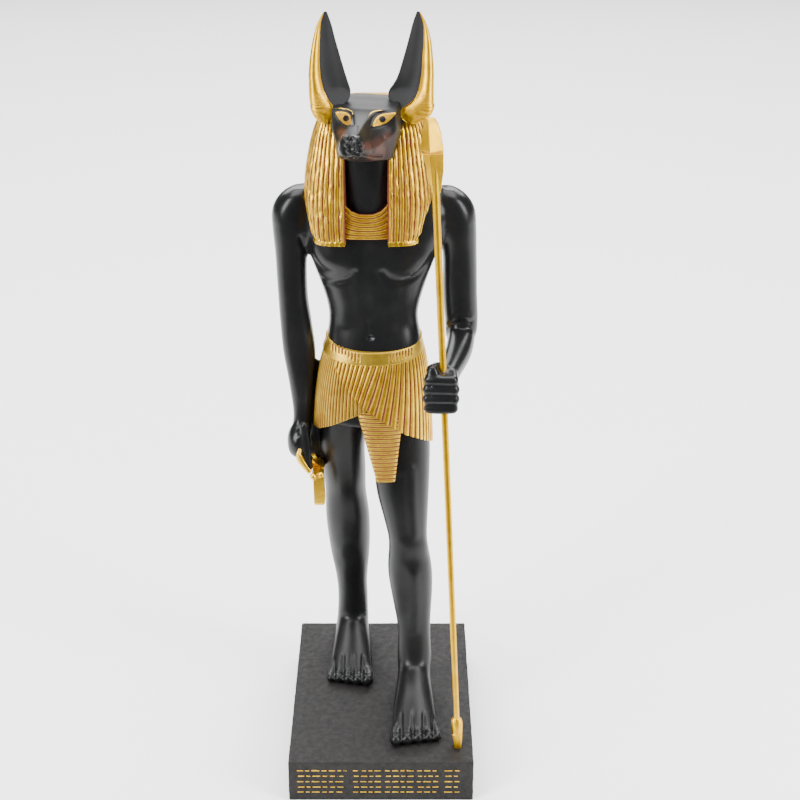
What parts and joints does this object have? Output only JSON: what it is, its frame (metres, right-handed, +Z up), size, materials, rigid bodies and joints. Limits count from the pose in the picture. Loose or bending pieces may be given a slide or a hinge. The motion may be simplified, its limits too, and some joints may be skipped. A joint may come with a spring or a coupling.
{
  "type": "anubis figurine",
  "caption": "Cast resin figurine of a striding jackal-headed figure in black and gold, with a tall sceptre and a looped cross, on a slab plinth",
  "frame": {"origin": "middle of the plinth's underside", "axes": "+Z up, -Y the way the figure strides, +X to the figure's left hand, which holds the sceptre"},
  "size_m": [0.0795, 0.103, 0.297],
  "materials": {
    "black_resin": "glossy near-black paint on cast resin, rubbed brown on the muzzle",
    "gold_paint": "gold paint with red-brown left in the grooves",
    "rough_plinth": "matte black-brown paint over a rough stone-like cast surface"
  },
  "bodies": {
    "root": {"anubis_figure": "black_resin", "was_sceptre": "gold_paint", "plinth": "rough_plinth"}
  },
  "joints": []
}
